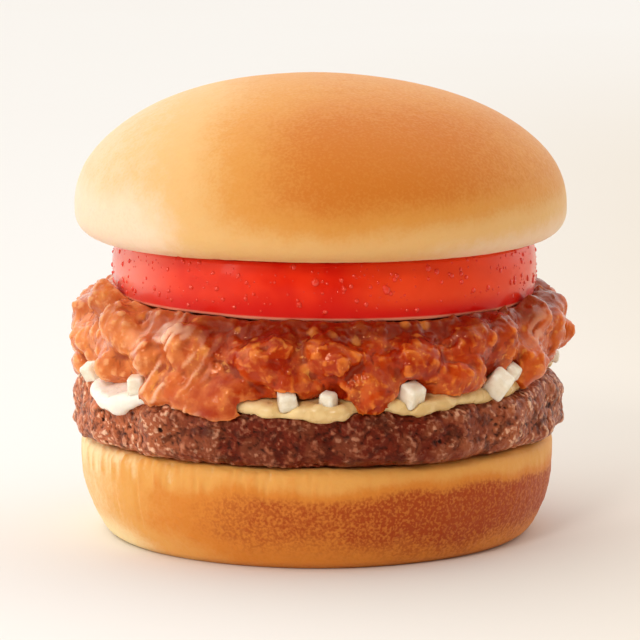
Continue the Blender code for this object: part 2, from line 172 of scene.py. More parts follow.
def ball_mesh(name, matrices, subdivisions):
    """One mesh of many balls, each squashed, turned and placed by its own matrix."""
    shape = bmesh.new()
    bmesh.ops.create_icosphere(shape, subdivisions=subdivisions, radius=1.0)
    points = np.array([vertex.co for vertex in shape.verts])
    faces = np.array([[vertex.index for vertex in face.verts] for face in shape.faces])
    shape.free()
    placed = [points @ np.array(matrix.to_3x3()).T + np.array(matrix.translation) for matrix in matrices]
    numbered = [faces + i * len(points) for i in range(len(matrices))]
    mesh = bpy.data.meshes.new(name)
    mesh.from_pydata(np.concatenate(placed).tolist(), [], np.concatenate(numbered).tolist())
    return mesh


def remesh(obj, voxel):
    skin = obj.modifiers.new("skin", "REMESH")
    skin.mode = "VOXEL"
    skin.voxel_size = voxel
    settle(obj)


def points_of(obj):
    points = np.empty(len(obj.data.vertices) * 3, np.float32)
    obj.data.vertices.foreach_get("co", points)
    return points.reshape(-1, 3).astype(float)


def normals_of(obj):
    normals = np.empty(len(obj.data.vertices) * 3, np.float32)
    obj.data.vertex_normals.foreach_get("vector", normals)
    return normals.reshape(-1, 3).astype(float)


def set_points(obj, points):
    obj.data.vertices.foreach_set("co", points.astype(np.float32).ravel())
    obj.data.update()


def relief(obj, heights):
    """Moves every point along its normal by its own height."""
    set_points(obj, points_of(obj) + normals_of(obj) * heights[:, None])


def paint(obj, name, values):
    """Stores one number for each point, for a material to read."""
    layer = obj.data.attributes.new(name, "FLOAT", "POINT")
    layer.data.foreach_set("value", values.astype(np.float32))


def averaged(obj, values, rounds):
    """Values for each point, averaged with the neighbouring points' values again and again."""
    ends = np.empty(len(obj.data.edges) * 2, np.int32)
    obj.data.edges.foreach_get("vertices", ends)
    ends = ends.reshape(-1, 2)
    starts = np.concatenate([ends[:, 0], ends[:, 1]])
    others = np.concatenate([ends[:, 1], ends[:, 0]])
    count = len(values)
    neighbours = np.maximum(1, np.bincount(starts, minlength=count))
    for _ in range(rounds):
        sums = [np.bincount(starts, values[others, axis], count) for axis in range(values.shape[1])]
        values = 0.5 * values + 0.5 * np.stack(sums, axis=1) / neighbours[:, None]
    return values


def smooth(obj, rounds):
    set_points(obj, averaged(obj, points_of(obj), rounds))


def paint_ridges(obj, rounds, depth):
    """Marks ridges above zero and crevices below it, where one is a ridge of the given height."""
    points = points_of(obj)
    stands_out = np.sum((points - averaged(obj, points, rounds)) * normals_of(obj), axis=1)
    paint(obj, "ridge", stands_out / depth)


# Noise


def lattice(cells, salt):
    """A repeatable number from 0 to 1 for each whole-numbered cell."""
    x, y, z = (cells[:, i].astype(np.int64).astype(np.uint64) for i in range(3))
    mixed = x * np.uint64(0x9E3779B97F4A7C15) ^ y * np.uint64(0xC2B2AE3D27D4EB4F)
    mixed ^= z * np.uint64(0x165667B19E3779F9) ^ np.uint64(salt * 0x27D4EB2F165667C5 % 2**64)
    mixed ^= mixed >> np.uint64(29)
    mixed *= np.uint64(0xBF58476D1CE4E5B9)
    mixed ^= mixed >> np.uint64(32)
    return (mixed >> np.uint64(40)).astype(float) / 2**24


def ripple(points, size, salt):
    """Smooth noise between -1 and 1 whose bumps have the given size. Each salt gives another pattern."""
    scaled = points / size
    base = np.floor(scaled)
    inside = scaled - base
    share = inside**3 * (inside * (inside * 6 - 15) + 10)
    total = np.zeros(len(points))
    for corner in itertools.product((0, 1), repeat=3):
        weight = np.prod(np.where(corner, share, 1 - share), axis=1)
        total += weight * lattice(base + corner, salt)
    return 2 * total - 1


def grains(points, size, salt):
    """For each point: how far the nearest grain's centre is and how much farther the next one is, both as
    shares of the grain size, and the nearest grain's own number from 0 to 1."""
    scaled = points / size
    base = np.floor(scaled)
    near = np.full(len(points), np.inf)
    second = near.copy()
    own = np.zeros(len(points))
    for step in itertools.product((-1, 0, 1), repeat=3):
        cell = base + step
        centre = cell + np.stack([lattice(cell, salt + i) for i in range(3)], axis=1)
        distance = np.linalg.norm(centre - scaled, axis=1)
        closer = distance < near
        second = np.where(closer, near, np.minimum(second, distance))
        own = np.where(closer, lattice(cell, salt + 3), own)
        near = np.where(closer, distance, near)
    return near, second - near, own


def crumbs(points, size, salt, least):
    """Rounded grains, each with a height of its own above the least one."""
    far, _, own = grains(points, size, salt)
    return (1 - np.minimum(1, far) ** 2) * (least + own)


def pits(points, size, salt, floor, edge, share):
    """1 on the floor of small round pits, 0 beyond their edge. Only a share of the grains has a pit."""
    far, _, own = grains(points, size, salt)
    return (1 - between(far, floor, edge)) * (own > 1 - share)


def flakes(points, size, salt):
    """Angular patches, each at a height of its own between -1 and 1, with grooves between them."""
    _, gap, own = grains(points, size, salt)
    return between(gap, 0.0, 0.3) * (2 * own - 0.6) - 0.4


def drift(points, size, salt):
    """A smooth push in all three directions, to bend a pattern out of its regular grid."""
    return np.stack([ripple(points, size, salt + axis) for axis in range(3)], axis=1)


def waviness(point, size, offset):
    """Slow noise at one point. Each offset gives another pattern."""
    return noise.noise(point / size + Vector((offset, 0, 0)))


def outwards(point, distance):
    """Moves a point away from the axis, unless it is near the axis."""
    radius = math.hypot(point.x, point.y)
    if radius < STILL_RADIUS:
        return point
    scale = 1 + distance / radius
    return Vector((point.x * scale, point.y * scale, point.z))


def reshape(obj, rule):
    for vertex in obj.data.vertices:
        vertex.co = rule(vertex.co.copy())
    obj.data.update()


def around(azimuth, radius, height):
    angle = math.radians(azimuth)
    return Vector((radius * math.sin(angle), -radius * math.cos(angle), height))


def azimuths(points):
    return np.degrees(np.arctan2(points[:, 0], -points[:, 1]))


def between(values, low, high):
    """0 at low, 1 at high and a smooth rise between them."""
    share = np.clip((values - low) / (high - low), 0, 1)
    return share * share * (3 - 2 * share)


def near_azimuth(points, centre, half_width):
    """1 at an azimuth, falling to nothing at about twice the half width from it."""
    apart = (azimuths(points) - centre + 180) % 360 - 180
    return np.exp(-((apart / half_width) ** 2))


# Materials

MIX_LOW = 6  # sockets of a node that mixes colours
MIX_HIGH = 7
MIX_RESULT = 2


def srgb(red, green, blue):
    """A colour as a picture shows it, from 0 to 255, turned into the shader's values."""
    shares = [value / 255 for value in (red, green, blue)]
    return [s / 12.92 if s <= 0.04045 else ((s + 0.055) / 1.055) ** 2.4 for s in shares]


class Graph:
    """One material and the nodes that drive its shader."""

    def __init__(self, name):
        self.material = bpy.data.materials.new(name)
        self.material.use_nodes = True
        self.nodes = self.material.node_tree.nodes
        self.links = self.material.node_tree.links
        self.shader = self.nodes["Principled BSDF"]
        self.place = self.nodes.new("ShaderNodeTexCoord").outputs["Object"]

    def wire(self, source, socket):
        """Gives a socket a value, a colour or another node's output."""
        if isinstance(source, bpy.types.NodeSocket):
            self.links.new(source, socket)
        elif isinstance(source, (list, tuple)) and socket.type == "RGBA":
            socket.default_value = (*source[:3], 1.0)
        else:
            socket.default_value = source

    def set(self, **values):
        for name, value in values.items():
            self.wire(value, self.shader.inputs[name.replace("_", " ")])

    def noise(self, size, detail=2.0, rough=0.5):
        texture = self.nodes.new("ShaderNodeTexNoise")
        self.wire(self.place, texture.inputs["Vector"])
        self.wire(1 / size, texture.inputs["Scale"])
        self.wire(detail, texture.inputs["Detail"])
        self.wire(rough, texture.inputs["Roughness"])
        return texture.outputs["Fac"]

    def painted(self, name):
        """Reads the numbers that a piece's points carry under a name."""
        attribute = self.nodes.new("ShaderNodeAttribute")
        attribute.attribute_name = name
        return attribute.outputs["Fac"]

    def ramp(self, value, low, high, to_low=0.0, to_high=1.0):
        """A smooth rise from one result to another between two values, and level beyond them."""
        mapping = self.nodes.new("ShaderNodeMapRange")
        mapping.interpolation_type = "SMOOTHSTEP"
        for name, given in zip(
            ("Value", "From Min", "From Max", "To Min", "To Max"), (value, low, high, to_low, to_high)
        ):
            self.wire(given, mapping.inputs[name])
        return mapping.outputs["Result"]

    def combined(self, operation, a, b):
        node = self.nodes.new("ShaderNodeMath")
        node.operation = operation
        self.wire(a, node.inputs[0])
        self.wire(b, node.inputs[1])
        return node.outputs[0]

    def sum(self, a, b):
        return self.combined("ADD", a, b)

    def product(self, a, b):
        return self.combined("MULTIPLY", a, b)

    def mix(self, share, a, b):
        node = self.nodes.new("ShaderNodeMix")
        node.data_type = "RGBA"
        self.wire(share, node.inputs["Factor"])
        self.wire(a, node.inputs[MIX_LOW])
        self.wire(b, node.inputs[MIX_HIGH])
        return node.outputs[MIX_RESULT]

    def bump(self, height, depth):
        node = self.nodes.new("ShaderNodeBump")
        self.wire(depth, node.inputs["Distance"])
        self.wire(height, node.inputs["Height"])
        self.wire(node.outputs["Normal"], self.shader.inputs["Normal"])


def soft_flesh(graph, weight, scale, tint):
    """Light that goes into the food and comes out again nearby."""
    graph.set(Subsurface_Weight=weight, Subsurface_Scale=scale, Subsurface_Radius=tint)


def bun_material(name, sheen, cream, pale, gold, brown):
    graph = Graph(name)
    mottle = graph.noise(3.0 * MM, detail=4)
    speckle = graph.noise(0.6 * MM, detail=2)
    grain = graph.painted("grain")
    # The painted tone holds the crust's browning together with painted light from the sides; cream is reached
    # mostly where that painted light pales the crust.
    bake_and_light = graph.sum(graph.painted("bake_and_light"), graph.ramp(mottle, 0.3, 0.7, -0.035, 0.035))
    bake_and_light = graph.sum(bake_and_light, graph.product(grain, graph.ramp(speckle, 0.35, 0.65, -1.0, 1.0)))
    colour = graph.mix(graph.ramp(bake_and_light, -0.5, 0.0), srgb(*cream), srgb(*pale))
    colour = graph.mix(graph.ramp(bake_and_light, 0.0, 0.5), colour, srgb(*gold))
    colour = graph.mix(graph.ramp(bake_and_light, 0.45, 1.0), colour, srgb(*brown))
    flecks = graph.product(graph.ramp(speckle, 0.52, 0.36, 0.0, 3.2), grain)
    colour = graph.mix(flecks, colour, srgb(*gold))
    graph.set(Base_Color=colour, Roughness=graph.ramp(speckle, 0.3, 0.7, 0.5, 0.64))
    graph.set(Specular_IOR_Level=0.3, Specular_Tint=(1.0, 0.85, 0.65))
    graph.set(Sheen_Weight=sheen, Sheen_Roughness=0.4)
    graph.bump(graph.sum(speckle, graph.noise(1.3 * MM)), 0.06 * MM)
    soft_flesh(graph, 0.25, 1.6 * MM, (1.0, 0.45, 0.2))
    return graph.material


def beef_material():
    graph = Graph("beef")
    ridge = graph.painted("ridge")
    fibre = graph.noise(0.7 * MM, detail=3)
    patch = graph.noise(4.5 * MM, detail=2)
    cluster = graph.noise(3.2 * MM, detail=2)
    blotch = graph.noise(2.6 * MM, detail=3, rough=0.6)
    light = graph.sum(graph.painted("lit"), graph.ramp(patch, 0.6, 0.4, -0.15, 0.15))
    raised = graph.sum(graph.sum(fibre, -0.5), graph.product(ridge, 0.35))
    glint = graph.product(graph.ramp(raised, 0.1, 0.5, 0.0, 0.95), graph.ramp(light, 0.0, 0.8, 0.12, 1.0))
    glint = graph.product(glint, graph.ramp(cluster, 0.42, 0.58, 0.3, 1.0))
    # The base tones are partly darkened as painted shade under the sauce; the lit colour is painted light at
    # the sides.
    colour = graph.mix(graph.ramp(patch, 0.35, 0.65), srgb(80, 16, 6), srgb(108, 32, 16))
    colour = graph.mix(graph.product(light, 0.95), colour, srgb(212, 120, 78))
    # Lighter on the raised bits: partly the meat's grain, partly painted highlight.
    colour = graph.mix(graph.ramp(raised, 0.0, 0.9, 0.0, 0.45), colour, srgb(204, 108, 66))
    colour = graph.mix(glint, colour, srgb(252, 204, 168))
    colour = graph.mix(graph.ramp(blotch, 0.5, 0.64, 0.0, 0.7), colour, srgb(62, 12, 6))
    # Painted shade in the crevices.
    colour = graph.mix(graph.ramp(ridge, -0.1, -1.7), colour, srgb(40, 6, 4))
    # Painted shade on the floors of the pits.
    colour = graph.mix(graph.painted("pit"), colour, srgb(20, 4, 4))
    graph.set(Base_Color=colour, Roughness=graph.ramp(fibre, 0.3, 0.7, 0.26, 0.46))
    graph.set(Specular_IOR_Level=0.26, Specular_Tint=(1.0, 0.52, 0.34))
    graph.bump(fibre, 0.12 * MM)
    soft_flesh(graph, 0.12, 0.8 * MM, (1.0, 0.3, 0.2))
    return graph.material


def mayonnaise_material():
    graph = Graph("mayonnaise")
    swirl = graph.noise(3.5 * MM, detail=2)
    # The base tones are darkened as painted shade under the sauce; the lit colour is painted light from the
    # left.
    colour = graph.mix(graph.ramp(swirl, 0.3, 0.7), srgb(218, 180, 116), srgb(240, 208, 148))
    # Painted shade in the crevices.
    colour = graph.mix(graph.ramp(graph.painted("ridge"), 0.4, -0.8, 0.0, 0.9), colour, srgb(170, 114, 54))
    colour = graph.mix(graph.painted("lit"), colour, srgb(255, 246, 232))
    graph.set(Base_Color=colour, Roughness=graph.ramp(swirl, 0.3, 0.7, 0.22, 0.34))
    graph.bump(graph.noise(1.2 * MM, detail=3), 0.05 * MM)
    soft_flesh(graph, 0.3, 1.5 * MM, (1.0, 0.8, 0.5))
    return graph.material


def onion_material():
    graph = Graph("onion")
    layer = graph.noise(1.6 * MM, detail=2)
    colour = graph.mix(graph.ramp(layer, 0.35, 0.7), srgb(252, 240, 220), srgb(236, 222, 198))
    graph.set(Base_Color=colour, Roughness=graph.ramp(layer, 0.3, 0.7, 0.16, 0.3))
    graph.bump(layer, 0.03 * MM)
    soft_flesh(graph, 0.6, 2.4 * MM, (1.0, 0.9, 0.75))
    return graph.material


def sauce_material():
    graph = Graph("meat_sauce")
    ridge = graph.painted("ridge")
    lit = graph.painted("lit")
    cloud = graph.noise(5.0 * MM, detail=3)
    grit = graph.noise(0.8 * MM, detail=3)
    speck = graph.noise(1.0 * MM, detail=1)
    hue = graph.sum(graph.painted("chunk"), graph.product(cloud, 0.6))
    light = graph.sum(lit, graph.ramp(cloud, 0.3, 0.7, -0.25, 0.25))
    high = graph.sum(ridge, graph.product(grit, 1.2))
    crest_highlight = graph.product(graph.ramp(high, 1.0, 2.2, 0.0, 0.8), lit)
    golden_glints = graph.product(graph.ramp(speck, 0.58, 0.68, 0.0, 0.5), graph.ramp(cloud, 0.5, 0.62))
    colour = graph.mix(graph.ramp(hue, 0.35, 1.25), srgb(150, 26, 3), srgb(196, 64, 8))
    # Painted shade in the crevices.
    colour = graph.mix(graph.ramp(ridge, -0.1, -1.5), colour, srgb(104, 12, 2))
    colour = graph.mix(light, colour, srgb(240, 144, 76))
    # Painted light on the right side, in a warmer orange.
    colour = graph.mix(graph.painted("right_light"), colour, srgb(226, 104, 22))
    # More painted shade in the crevices, laid over the light.
    colour = graph.mix(graph.ramp(ridge, -0.3, -1.6, 0.0, 0.75), colour, srgb(150, 38, 10))
    # Painted highlights on the high places.
    colour = graph.mix(graph.ramp(high, 0.9, 2.8, 0.0, 0.8), colour, srgb(234, 128, 46))
    # Painted highlights on the crests where the light falls.
    colour = graph.mix(crest_highlight, colour, srgb(255, 196, 140))
    # Golden flecks: painted glints.
    colour = graph.mix(golden_glints, colour, srgb(240, 160, 70))
    # Painted highlights along the fibres.
    colour = graph.mix(graph.painted("fibre_highlight"), colour, srgb(255, 206, 176))
    # Painted shade under the tomato.
    colour = graph.mix(graph.painted("deep"), colour, srgb(114, 14, 4))
    colour = graph.mix(graph.product(graph.painted("bit"), 0.6), colour, srgb(220, 134, 56))
    graph.set(Base_Color=colour, Roughness=graph.ramp(grit, 0.3, 0.7, 0.1, 0.24))
    graph.set(Coat_Weight=0.14, Coat_Roughness=0.06)
    graph.set(Specular_IOR_Level=0.5, Specular_Tint=(1.0, 0.44, 0.2))
    graph.bump(grit, 0.08 * MM)
    soft_flesh(graph, 0.15, 1.2 * MM, (1.0, 0.32, 0.08))
    return graph.material


def tomato_material():
    graph = Graph("tomato")
    cloud = graph.noise(7.0 * MM, detail=2)
    fleck = graph.noise(0.6 * MM, detail=2)
    colour = graph.mix(graph.ramp(cloud, 0.3, 0.7), srgb(222, 28, 8), srgb(238, 50, 18))
    # The pale flesh of the cut edge, lightened further as a painted highlight.
    colour = graph.mix(graph.painted("cut"), colour, srgb(250, 160, 130))
    colour = graph.mix(graph.painted("deep"), colour, srgb(218, 4, 6))
    # Painted light on the right of the middle.
    colour = graph.mix(graph.painted("right_light"), colour, srgb(246, 84, 36))
    # Painted glare: a broad reflection at the left end and a strip at the right edge.
    colour = graph.mix(graph.painted("glare"), colour, srgb(250, 150, 130))
    graph.set(Base_Color=colour, Roughness=graph.ramp(fleck, 0.3, 0.7, 0.16, 0.26))
    graph.set(Coat_Weight=0.08, Coat_Roughness=0.08)
    graph.set(Specular_IOR_Level=0.3, Specular_Tint=(1.0, 0.3, 0.2))
    graph.bump(graph.sum(fleck, graph.product(graph.noise(2.2 * MM), 0.5)), 0.03 * MM)
    soft_flesh(graph, 0.3, 3.0 * MM, (1.0, 0.25, 0.1))
    return graph.material


def water_material():
    """Drops so small that they show the slice's own red, with a gloss of their own."""
    graph = Graph("water")
    colour = graph.mix(graph.noise(1.0 * MM), srgb(226, 44, 26), srgb(238, 66, 42))
    graph.set(Base_Color=colour, Roughness=graph.ramp(graph.noise(0.5 * MM), 0.3, 0.7, 0.02, 0.06))
    graph.set(Specular_IOR_Level=0.6, Specular_Tint=(1.0, 0.6, 0.5))
    graph.set(Coat_Weight=0.3, Coat_Roughness=0.03)
    return graph.material


def floor_material():
    """Pale, with painted shade that makes it a little darker towards the right and the front."""
    graph = Graph("floor")
    axes = graph.nodes.new("ShaderNodeSeparateXYZ")
    graph.wire(graph.place, axes.inputs[0])
    to_the_right = graph.ramp(axes.outputs["X"], -0.1, 0.2)
    to_the_front = graph.ramp(axes.outputs["Y"], 1.6, 0.2)
    mottle = graph.ramp(graph.noise(0.5, detail=3), 0.3, 0.7, -0.04, 0.04)
    tone = graph.sum(graph.product(to_the_right, to_the_front), mottle)
    graph.set(Base_Color=graph.mix(tone, srgb(238, 236, 233), srgb(226, 216, 202)))
    graph.set(Roughness=0.8, Specular_IOR_Level=0.1)
    return graph.material


def dress(obj, material, slot, *nodes):
    """Finishes a piece: its material, the body it rides on and the imported nodes it hides. Its slot, what it
    stands for, is not used.
    """
    obj.data.materials.clear()
    obj.data.materials.append(material)
    obj.data.shade_smooth()
    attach(obj, "root")
    if nodes:
        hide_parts(*nodes)
    return obj


# Pieces

HEEL_TONES = ((252, 226, 172), (232, 166, 84), (220, 134, 48), (170, 66, 16))  # cream where painted light from the left pales the crust, then from pale and little browned to well browned
HEEL_STEPS = 700
HEEL_SPACING = 0.3 * MM
HEEL_CREASES = (-57.5, -48.5)  # azimuths of two upright creases
HEEL_CREASE_WIDTH = 0.7  # degrees, half of it


def heel_side(height):
    tuck = HEEL_TUCK * max(0.0, 1 - height / HEEL_WIDEST) ** 2
    foot = HEEL_FOOT * max(0.0, 1 - height / HEEL_FOOT_HEIGHT) ** 2
    return HEEL_RADIUS - tuck - foot


def heel_relief(point):
    moved = outwards(point, UNEVEN * waviness(point, HEEL_WAVE, 1))
    moved.x += HEEL_SHIFT
    return moved


def heel_profile(top):
    inner = HEEL_RADIUS - HEEL_CORNER
    side = [(inner - 5 * MM, top)] + arc(inner, top - HEEL_CORNER, HEEL_CORNER, 90, 0, 12)
    side += [(heel_side(z), z) for z in np.linspace(top - HEEL_CORNER, 0.0, 80)[1:]]
    return [(0.0, top)] + evenly(side, HEEL_SPACING) + [(HEEL_RADIUS * 0.8, 0.0), (0.0, 0.0)]


def heel_bake_and_light(points):
    """How brown the heel's crust is painted: palest below the cut, where it browned least, and lighter at the
    foot; paler at the left as painted light from the left, and a little paler at the right edge as a painted
    rim light.
    """
    across = points[:, 0]
    height = points[:, 2] + 1.2 * MM * ripple(points, 9 * MM, 26)
    foot = 1 - between(height, 0.5 * MM, 8 * MM)
    bake_and_light = 1 - 0.94 * between(height, 13 * MM, 18.3 * MM)
    bake_and_light *= 1 - 0.42 * foot
    # Paler towards the left and cream at the far left: painted light from the left.
    bake_and_light *= 0.15 + 0.62 * between(across, -46 * MM, -8 * MM) + 0.23 * between(across, -8 * MM, 34 * MM)
    bake_and_light -= 0.4 * (1 - between(across, -47 * MM, -30 * MM))
    # The foot is paler still at the left: painted light from the left.
    bake_and_light -= 0.38 * foot * (1 - between(across, -36 * MM, -12 * MM))
    # A little paler at the right edge: a painted rim light.
    return bake_and_light - 0.1 * between(across, 38 * MM, 49 * MM) * between(bake_and_light, 0.2, 0.6)


def make_heel():
    heel = turned("soft_heel", heel_profile(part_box("bun_heel")[1].z), HEEL_STEPS)
    reshape(heel, heel_relief)
    points = points_of(heel)
    height = points[:, 2]
    band = between(height, 13 * MM, 16.5 * MM) * (1 - between(height, 19.8 * MM, 20.4 * MM))
    pleated = band * (0.25 + 0.75 * (1 - between(points[:, 0], -18 * MM, 12 * MM)))
    pleats = ripple(points * (1, 1, 0.2), 0.8 * MM, 21) + 0.7 * ripple(points * (1, 1, 0.2), 1.8 * MM, 22)
    grain = ripple(points, 0.8 * MM, 23) + 0.6 * ripple(points, 1.7 * MM, 24)
    above_foot = between(height, 0.3 * MM, 3 * MM)
    creases = sum(near_azimuth(points, azimuth, HEEL_CREASE_WIDTH) for azimuth in HEEL_CREASES)
    creases *= between(height, 4 * MM, 9 * MM) * (1 - between(height, 17 * MM, 19 * MM))
    relief(
        heel,
        0.22 * MM * pleats * pleated
        + 0.08 * MM * grain * above_foot * (1 - band)
        + 0.15 * MM * ripple(points, 6 * MM, 25) * above_foot
        - 0.35 * MM * creases,
    )
    bake_and_light = heel_bake_and_light(points)
    paint(heel, "bake_and_light", bake_and_light + 0.18 * pleats * pleated + 0.04 * grain * between(bake_and_light, 0.2, 0.8))
    paint(heel, "grain", 0.03 + 0.07 * between(bake_and_light, 0.35, 0.9))
    return dress(heel, bun_material("heel_skin", 0.05, *HEEL_TONES), "bun", "bun_heel")


PATTY_STEPS = 880
PATTY_SPACING = 0.28 * MM


def rim_rise(azimuth):
    total = 0.0
    for centre, half_width, rise in PATTY_RISES:
        apart = (azimuth - centre + 180) % 360 - 180
        total += rise * MM * math.exp(-((apart / half_width) ** 2))
    return total


def patty_relief(point, bottom, top):
    start, full = PATTY_RIM
    share = math.hypot(point.x, point.y) / PATTY_RADIUS
    rim = min(1.0, max(0.0, (share - start) / (full - start)))
    crag = waviness(point, PATTY_CRAG, 3) + 0.5 * waviness(point, PATTY_CRAG / 2, 5)
    slow = 2 * UNEVEN * waviness(point, PATTY_WAVE, 2)
    moved = outwards(point, rim * (slow + PATTY_CRAG_DEPTH * crag))
    upper = max(0.0, (point.z - bottom) / (top - bottom))
    moved.z += rim * upper**2 * rim_rise(math.degrees(math.atan2(point.x, -point.y)))
    moved.x += PATTY_SHIFT
    return moved


def patty_profile(bottom, top):
    shoulder_r = PATTY_RADIUS - PATTY_SHOULDER
    foot_r = PATTY_RADIUS - PATTY_FOOT
    side = [(shoulder_r - 7 * MM, top)]
    side += arc(shoulder_r, top - PATTY_SHOULDER, PATTY_SHOULDER, 90, 0, 16)
    side += arc(foot_r, bottom + PATTY_FOOT, PATTY_FOOT, 0, -90, 10)
    side.append((foot_r - 3 * MM, bottom - PATTY_SINK))
    return [(0.0, top)] + evenly(side, PATTY_SPACING) + [(0.0, bottom - PATTY_SINK)]


def make_patty():
    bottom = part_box("patty")[0].z
    top = bottom + PATTY_THICKNESS
    patty = turned("craggy_patty", patty_profile(bottom, top), PATTY_STEPS)
    reshape(patty, lambda point: patty_relief(point, bottom, top))
    points = points_of(patty)
    across = points[:, 0]
    facing = azimuths(points)
    rim = between(np.hypot(across - PATTY_SHIFT, points[:, 1]), 38 * MM, 43 * MM)
    smoothed = between(facing, -5, 12) * (1 - between(facing, 40, 55))
    smoothed *= 1 - between(points[:, 2], 22.5 * MM, 25 * MM)
    warped = points + 0.8 * MM * drift(points, 2.5 * MM, 28)
    lumps = 0.6 * crumbs(warped, 2.1 * MM, 31, 0.5) + 0.55 * crumbs(warped, 0.95 * MM, 35, 0.4) - 0.85
    large_pits = pits(points, 4.2 * MM, 39, 0.05, 0.15, 0.4)
    small_pits = pits(points, 1.9 * MM, 43, 0.08, 0.2, 0.2)
    relief(
        patty,
        rim * MM * (0.55 * lumps * (1 - 0.8 * smoothed) + 0.1 * ripple(points, 0.8 * MM, 47))
        - rim * MM * (0.7 * large_pits + 0.35 * small_pits) * (1 - smoothed),
    )
    paint_ridges(patty, 12, 0.12 * MM)
    # The material paints shade on the pits' floors.
    paint(patty, "pit", np.maximum(large_pits, 0.8 * small_pits) * (1 - smoothed))
    left = 1 - between(across, -52 * MM, -12 * MM)
    right = between(across, 10 * MM, 44 * MM)
    paint(patty, "lit", 0.9 * left + 0.45 * right)
    return dress(patty, beef_material(), "beef", "patty")


MAYONNAISE_VOXEL = 0.6 * MM


def make_mayonnaise():
    mayonnaise = copy_of("mayonnaise_layer", "mayonnaise")
    remesh(mayonnaise, MAYONNAISE_VOXEL)
    smooth(mayonnaise, 6)
    points = points_of(mayonnaise)
    folds = ripple(points, 3.6 * MM, 51) + 0.6 * ripple(points, 1.6 * MM, 52)
    relief(mayonnaise, 0.4 * MM + 0.4 * MM * folds)
    paint_ridges(mayonnaise, 14, 0.15 * MM)
    paint(mayonnaise, "lit", 1 - between(points[:, 0], -36 * MM, -10 * MM))
    return dress(mayonnaise, mayonnaise_material(), "mayonnaise", "mayonnaise")


ONION_VOXEL = 0.28 * MM


def onion_nodes():
    return sorted(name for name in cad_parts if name.startswith("onion_"))


def make_onions():
    nodes = onion_nodes()
    onions = copy_of("onion_dice", *nodes)
    remesh(onions, ONION_VOXEL)
    smooth(onions, 1)
    points = points_of(onions)
    relief(onions, 0.1 * MM * ripple(points, 2.2 * MM, 55) + 0.02 * MM * ripple(points, 0.7 * MM, 56))
    return dress(onions, onion_material(), "onion", *nodes)


SAUCE_VOXEL = 0.43 * MM
CHUNKS = 260
CHUNK_SIZES = (1.2, 3.1)  # half widths in millimetres
CHUNK_HEIGHTS = (33.5, 49.0)
CRUMBS = 460
CRUMB_SIZES = (0.45, 1.0)
CRUMB_REACH = (43.0, 50.0)
CRUMB_START = 60 * MM  # height above the sauce from which they fall
PALE_SHARE = 0.16  # of the crumbs
DICE_REACH = 2.4 * MM  # how far the chunks keep off the middle of a dice
FAR_OUT = 80 * MM  # a radius outside the whole burger
FIBRES_AT = (  # azimuth, half width and strength of the fibrous lobes
    (-38, 9, 1.0),
    (63, 3.5, 0.5),
)
DRIP_AT = (-24, 11)  # azimuth and half width of the smooth big drip
DRIP_TOP = 38 * MM
SAUCE_COARSE_RADIUS = 38 * MM  # inside it the layers above and below hide the sauce
SAUCE_FACES_LEFT = 0.5  # share of its faces that the coarsening leaves
SLANT = ((0.8, 0.0, 0.12), (0.0, 0.2, 0.0), (-0.6, 0.0, 0.16))  # draws the fibres out down and to the left


def random_direction(draw):
    height = draw.uniform(-1, 1)
    angle = draw.uniform(0, math.tau)
    flat = math.sqrt(1 - height * height)
    return Vector((flat * math.cos(angle), flat * math.sin(angle), height))


def blob(centre, size, draw):
    """Where a bit of meat lies: a small ball's matrix, squashed in a random direction."""
    turn = Matrix.Rotation(draw.uniform(0, math.tau), 4, random_direction(draw))
    squash = Matrix.Diagonal([size * draw.uniform(0.7, 1.35) for _ in range(3)] + [1])
    return Matrix.Translation(centre) @ turn @ squash


def dice_centres():
    boxes = [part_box(name) for name in onion_nodes()]
    return [(Vector(low) + Vector(high)) / 2 for low, high in boxes]


def wall_chunks(surface, draw):
    """Bits of meat on the sauce's outer wall, clear of the onion: matrix, size and whether each is pale."""
    chunks = []
    dice = dice_centres()
    for _ in range(CHUNKS):
        azimuth = draw.uniform(0, 360)
        height = draw.uniform(*CHUNK_HEIGHTS) * MM
        start = around(azimuth, FAR_OUT, height)
        place, normal, _, _ = surface.ray_cast(start, around(azimuth + 180, 1, 0))
        size = draw.uniform(*CHUNK_SIZES) * MM
        if place is None or math.hypot(place.x, place.y) < CRUMB_REACH[0] * MM:
            continue
        if abs(azimuth - 360 - DRIP_AT[0]) < DRIP_AT[1] and height < DRIP_TOP:
            continue
        centre = place - normal * size * draw.uniform(0.55, 0.9)
        matrix = blob(centre, size, draw)
        if all((centre - middle).length > size + DICE_REACH for middle in dice):
            chunks.append((matrix, size, False))
    return chunks


def rim_crumbs(surface, draw):
    """Small bits on the sauce's rim below the tomato, listed as the larger ones are."""
    bits = []
    for _ in range(CRUMBS):
        azimuth = draw.uniform(0, 360)
        start = around(azimuth, draw.uniform(*CRUMB_REACH) * MM, CRUMB_START)
        place, normal, _, _ = surface.ray_cast(start, Vector((0, 0, -1)))
        size = draw.uniform(*CRUMB_SIZES) * MM
        if place is None:
            continue
        centre = place + normal * size * draw.uniform(-0.6, 0.0)
        bits.append((blob(centre, size, draw), size, draw.random() < PALE_SHARE))
    return bits


def add_chunks(sauce, draw):
    """Joins the bits of meat to the sauce's mesh and lists them."""
    shape = bmesh.new()
    shape.from_mesh(sauce.data)
    surface = BVHTree.FromBMesh(shape)
    chunks = wall_chunks(surface, draw) + rim_crumbs(surface, draw)
    bits = ball_mesh("bits", [matrix for matrix, _, _ in chunks], 2)
    shape.from_mesh(bits)
    bpy.data.meshes.remove(bits)
    shape.to_mesh(sauce.data)
    shape.free()
    return chunks


